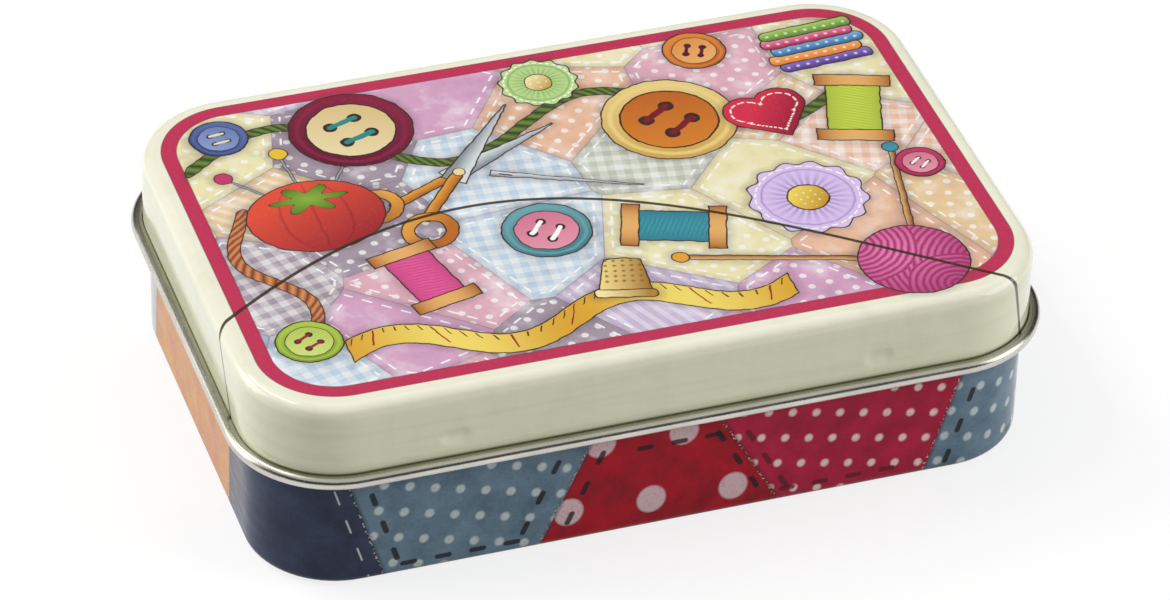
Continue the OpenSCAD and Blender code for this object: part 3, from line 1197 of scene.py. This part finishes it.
def make_body_print():
    """The body's wall: cloths with their seams, rows of stitches along hems, painted shade at the foot, and
    varnish.
    """
    art = Finish("body_print", "#32384A")
    girth, z, _ = (part * (1 / MM) for part in art.split(art.node("UVMap", {}, uv_map="girth")[0]))
    lay_patchwork(art, girth, z)
    for row_z, shift, middle, half, name in hem_rows:
        place = (girth - shift).apart(hem_pitch)
        row = rod(place, z - row_z, stitch_half - stitch_r, stitch_r).ink(stitch_soft)
        art.cover(cloths[name][2], row * ((girth - middle).size() - half).ink(0.3) * 0.9)
    # Painted shade: the wall darkens towards its foot, where the base bend lies in shadow
    art.cover("#14121A", (z - 0.3).ink(1.2) * 0.6)
    ripple = art.noise(art.vector(girth * 0.6, z), 0.3, 2.0)
    return art.varnish(0.12 + ripple * 0.08, ripple, 0.12, Specular_IOR_Level=0.15)


body_print = make_body_print()
print("body print nodes:", len(body_print.node_tree.nodes))

# %% [markdown]
# ## Curls, straps and bars
# The curled edges follow the wall, and the hinge's straps and bars are short stretches of a bent section.
# All of them are a section that follows a path, which is one Geometry Nodes tree: Curve to Mesh with
# closed ends, then Set Material. The section's outline goes round both faces of the sheet.

# %% Sweep tree
def sweep_tree():
    """Sweeps a section along a path, both given as objects, and gives the sheet its finish."""
    tree = bpy.data.node_groups.new("sheet_along_path", "GeometryNodeTree")
    sweep = Nodes(tree, prefix="GeometryNode")
    kinds = {"Geometry": "Geometry", "Path": "Object", "Section": "Object", "Finish": "Material"}
    for key, kind in kinds.items():
        sweep.socket(key, kind)
    sweep.socket("Geometry", "Geometry", "OUTPUT")
    entry = tree.nodes.new("NodeGroupInput").outputs
    path, section = (sweep.node("ObjectInfo", {"Object": entry[key]})["Geometry"]
                     for key in ("Path", "Section"))
    mesh = sweep.node("CurveToMesh", {"Curve": path, "Profile Curve": section, "Fill Caps": True})[0]
    real = sweep.node("RealizeInstances", {"Geometry": mesh})[0]
    coated = sweep.node("SetMaterial", {"Geometry": real, "Material": entry["Finish"]})[0]
    sweep.wire(tree.nodes.new("NodeGroupOutput").inputs["Geometry"], coated)
    return tree


along_path = sweep_tree()
sweep_sockets = {s.name: s.identifier for s in along_path.interface.items_tree if s.in_out == "INPUT"}
print("sweep tree inputs:", *sweep_sockets)


# %% Sweeping a piece
def line_object(name, runs, closed):
    """A curve of straight-edged runs, in metres."""
    data = bpy.data.curves.new(name, "CURVE")
    data.dimensions = "3D"
    data.twist_mode = "Z_UP"
    for run in runs:
        spline = data.splines.new("POLY")
        spline.points.add(len(run) - 1)
        for point, spot in zip(spline.points, run):
            point.co = (*(Vector(spot) * MM), 1)
        spline.use_cyclic_u = closed
    return put(name, data)


def swept(name, runs, closed, section, material):
    """The sweep tree's result as a plain mesh object."""
    path = line_object(name + "_path", runs, closed)
    profile = line_object(name + "_section", [[(u, -z, 0) for u, z in section]], True)
    carrier = put(name + "_carrier", bpy.data.meshes.new(name + "_carrier"))
    modifier = carrier.modifiers.new("sweep", "NODES")
    modifier.node_group = along_path
    for key, value in (("Path", path), ("Section", profile), ("Finish", material)):
        modifier[sweep_sockets[key]] = value
    bpy.context.view_layer.update()
    result = carrier.evaluated_get(bpy.context.evaluated_depsgraph_get())
    mesh = bpy.data.meshes.new_from_object(result)
    for helper in (carrier, path, profile):
        bpy.data.objects.remove(helper)
    piece = finish_mesh(name, mesh)
    print(name, "has", len(mesh.polygons), "faces")
    return piece


def outline(pen):
    """Both faces of the sheet whose middle line the pen drew, as one closed outline."""
    faces = [[(u + off * math.sin(h), z - off * math.cos(h)) for u, z, h in pen.points]
             for off in (sheet / 2, -sheet / 2)]
    return faces[0] + faces[1][::-1]


# %% [markdown]
# ## Curls in place
# The sheet's edges are curled so that they don't cut, and so that they stiffen the walls. The lid's curl
# stops short of each strap, so its path is in two runs. The body's rim is curled inwards all round.

# %% Curls
def wall_line(path, corner_r):
    """The wall's outer line at height 0 through the stations."""
    return [(x + corner_r * math.cos(a), y + corner_r * math.sin(a), 0) for x, y, a, _ in path]


def runs_between_gaps(ring):
    """The lid's ring without its stretches at the straps, as the runs that are left."""
    runs = [[]]
    for spot in ring:
        if spot[1] > lid_w / 2 - touch and at_hinge(spot[0], gap_half_w - touch):
            if runs[-1]:
                runs.append([])
        else:
            runs[-1].append(spot)
    last = runs.pop()
    runs[0] = last[:-1] + runs[0]
    return runs


curl_pen = Pen(-sheet / 2, curl_z, -90)
curl_pen.bend(lid_curl_r - sheet / 2, lid_curl_arc, step=12)
curl_runs = runs_between_gaps(wall_line(lid_path, lid_corner_r))
lid_curl = swept("lid_curl", curl_runs, False, outline(curl_pen), curl_tinplate)

rim_pen = Pen(-neck_inset - sheet / 2, rim_z - rim_curl_r, 90)
rim_pen.bend(rim_curl_r - sheet / 2, rim_curl_arc)
rim_run = wall_line(body_path, body_corner_r)[:-1]
body_rim = swept("body_rim", [rim_run], True, outline(rim_pen), tinplate)

# %% [markdown]
# ## The hinge
# A strap comes down from the skirt and rolls nearly round its bar, with a little clearance, which is all
# that the hinge consists of. Straps and bars are level, so both are swept along short runs at each hinge.

# %% Straps and bars
def hinge_runs(half):
    return [[(x + half, hinge_y, 0), (x - half, hinge_y, 0)] for x in hinge_xs]


strap_pen = Pen(knuckle_r - sheet / 2, gap_top_z, -90)
strap_pen.line(gap_top_z - hinge_z)
strap_pen.bend(knuckle_r - sheet / 2, -knuckle_arc, step=12)
lid_straps = swept("lid_straps", hinge_runs(strap_w / 2), False, outline(strap_pen), tinplate)

bar_turns = [math.radians(a) for a in range(0, -360, -12)]
bar_ring = [(bar_r * math.cos(a), bar_r * math.sin(a) + hinge_z) for a in bar_turns]
hinge_bars = swept("hinge_bars", hinge_runs(slot_half_w + sheet), False, bar_ring, tinplate)

# %% [markdown]
# ## Hand the pieces to the frame
# Each piece moves with its body and stands for that body's CAD node, which is hidden.

# %% Ride, replace, slot
for piece, printed in ((body_shell, body_print), (lid_shell, lid_print)):
    piece.data.materials.append(printed)
    piece.data.materials.append(tinplate)
members_of = {"body": (body_shell, body_rim, hinge_bars), "lid": (lid_shell, lid_curl, lid_straps)}
for body, members in members_of.items():
    for piece in members:
        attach(piece, body)
        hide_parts(body)
        print(piece.name, "rides on", body)

# %% [markdown]
# ## Light and backdrop
# Plain studio light: a large soft box on the left and one on the right, a narrow one overhead that draws
# the lid's edges, and even light from all round. A dark curtain, which only reflections see, gives metal
# its contrast. The pale floor shows white to the camera and keeps a soft shadow, because part of its white
# is its own and the rest is what the lamps give it. The studio is measured in metres.

# %% World and lamps
ambient = 0.5
lamp_distance = 0.9
# A lamp: level that it gives to a surface square to it, width and length of its soft box, the direction
# that it shines from, and the direction of its length
lamps = {
    "left_box": (0.53, 0.6, 0.6, (-0.8, 0.45, 0.39), (0, 0, 1)),
    "right_box": (0.44, 0.6, 0.6, (0.82, -0.41, 0.43), (0, 0, 1)),
    "edge_light": (0.24, 0.14, 0.62, (-0.38, 0.36, 0.85), (0.06, 0.92, -0.39)),
}


def seen_directly(art):
    """1 for rays from the camera, off a gloss or through glass, and 0 for what a matt surface takes."""
    rays = art.node("LightPath", {})
    kinds = ("Is Camera Ray", "Is Glossy Ray", "Is Transmission Ray")
    camera_ray, glossy, through = art.numbers(rays[kind] for kind in kinds)
    return camera_ray.most(glossy).most(through)


def make_world():
    world = bpy.data.worlds.new("studio")
    bpy.context.scene.world = world
    world.use_nodes = True
    world.node_tree.nodes.clear()
    sky = Nodes(world.node_tree)
    level = seen_directly(sky).times_add(1 - ambient, ambient)
    sky.node("OutputWorld", {0: sky.node("Background", {"Color": sky.colour, "Strength": level})[0]})


def make_lamp(name, level, width, length, direction, along):
    """A soft box. A matt white surface square to it renders at the given level."""
    data = bpy.data.lights.new(name, "AREA")
    data.shape = "RECTANGLE"
    data.size, data.size_y = width, length
    data.energy = level * math.pi ** 2 * lamp_distance ** 2
    lamp = put(name, data)
    towards = Vector(direction).normalized()
    across = Vector(along).cross(towards).normalized()
    lamp.location = towards * lamp_distance
    lamp.rotation_euler = Matrix((across, towards.cross(across), towards)).transposed().to_euler()
    print(name, "at", [round(v, 2) for v in lamp.location], "with", round(data.energy, 2), "W")


make_world()
for name, values in lamps.items():
    make_lamp(name, *values)

# %% Curtain
curtain_turns = 48
curtain_r = 1.4
curtain_bottom, curtain_top = 0.02, 1.3


def plain_mesh(name, verts, faces, material):
    """A mesh object of one material, for the studio."""
    mesh = bpy.data.meshes.new(name)
    mesh.from_pydata(verts, [], faces)
    mesh.materials.append(material)
    return put(name, mesh)


def make_curtain():
    """A dark band along the horizon, as black flags give metal its drawing."""
    turns = [2 * math.pi * i / curtain_turns for i in range(curtain_turns)]
    verts = [(curtain_r * math.cos(a), curtain_r * math.sin(a), z)
             for z in (curtain_bottom, curtain_top) for a in turns]
    following = [(i + 1) % curtain_turns for i in range(curtain_turns)]
    faces = [(i, j, curtain_turns + j, curtain_turns + i) for i, j in enumerate(following)]
    dark = Finish("curtain_cloth", "#202020")
    _, _, height = dark.places()
    dark.cover("#8C8C8C", (height * (MM / curtain_top)).rise(1.4, -0.4))
    dark.node("OutputMaterial", {0: dark.node("BsdfDiffuse", {"Color": dark.colour})[0]})
    curtain = plain_mesh("curtain", verts, faces, dark.material)
    curtain.visible_camera = False
    curtain.visible_diffuse = False
    curtain.visible_shadow = False


make_curtain()
print("curtain of", curtain_turns, "panels")

# %% Floor
floor_half = 6.0
floor_z = -0.05 * MM
# The part of the floor's white that is its own, near the tin, and what is added far off
glow_near, glow_far = 0.73, 0.27


def make_floor():
    corners = ((-1, -1), (1, -1), (1, 1), (-1, 1))
    verts = [(x * floor_half, y * floor_half, floor_z) for x, y in corners]
    paper = Finish("floor_paper", "#979797")
    white = seen_directly(paper)
    x, y, _ = paper.places()
    far = reach(x, y).rise(0.0015, -0.3)
    strength = white * (far * glow_far + glow_near)
    glow = paper.node("Emission", {"Color": tint("#FFFFFF"), "Strength": strength})
    matt = paper.node("BsdfDiffuse", {"Color": paper.colour})
    paper.node("OutputMaterial", {"Surface": paper.node("AddShader", {0: glow[0], 1: matt[0]})[0]})
    floor = plain_mesh("floor", verts, [(0, 1, 2, 3)], paper.material)


make_floor()
bpy.context.scene.view_settings.view_transform = "Standard"
print("floor of", 2 * floor_half, "m")
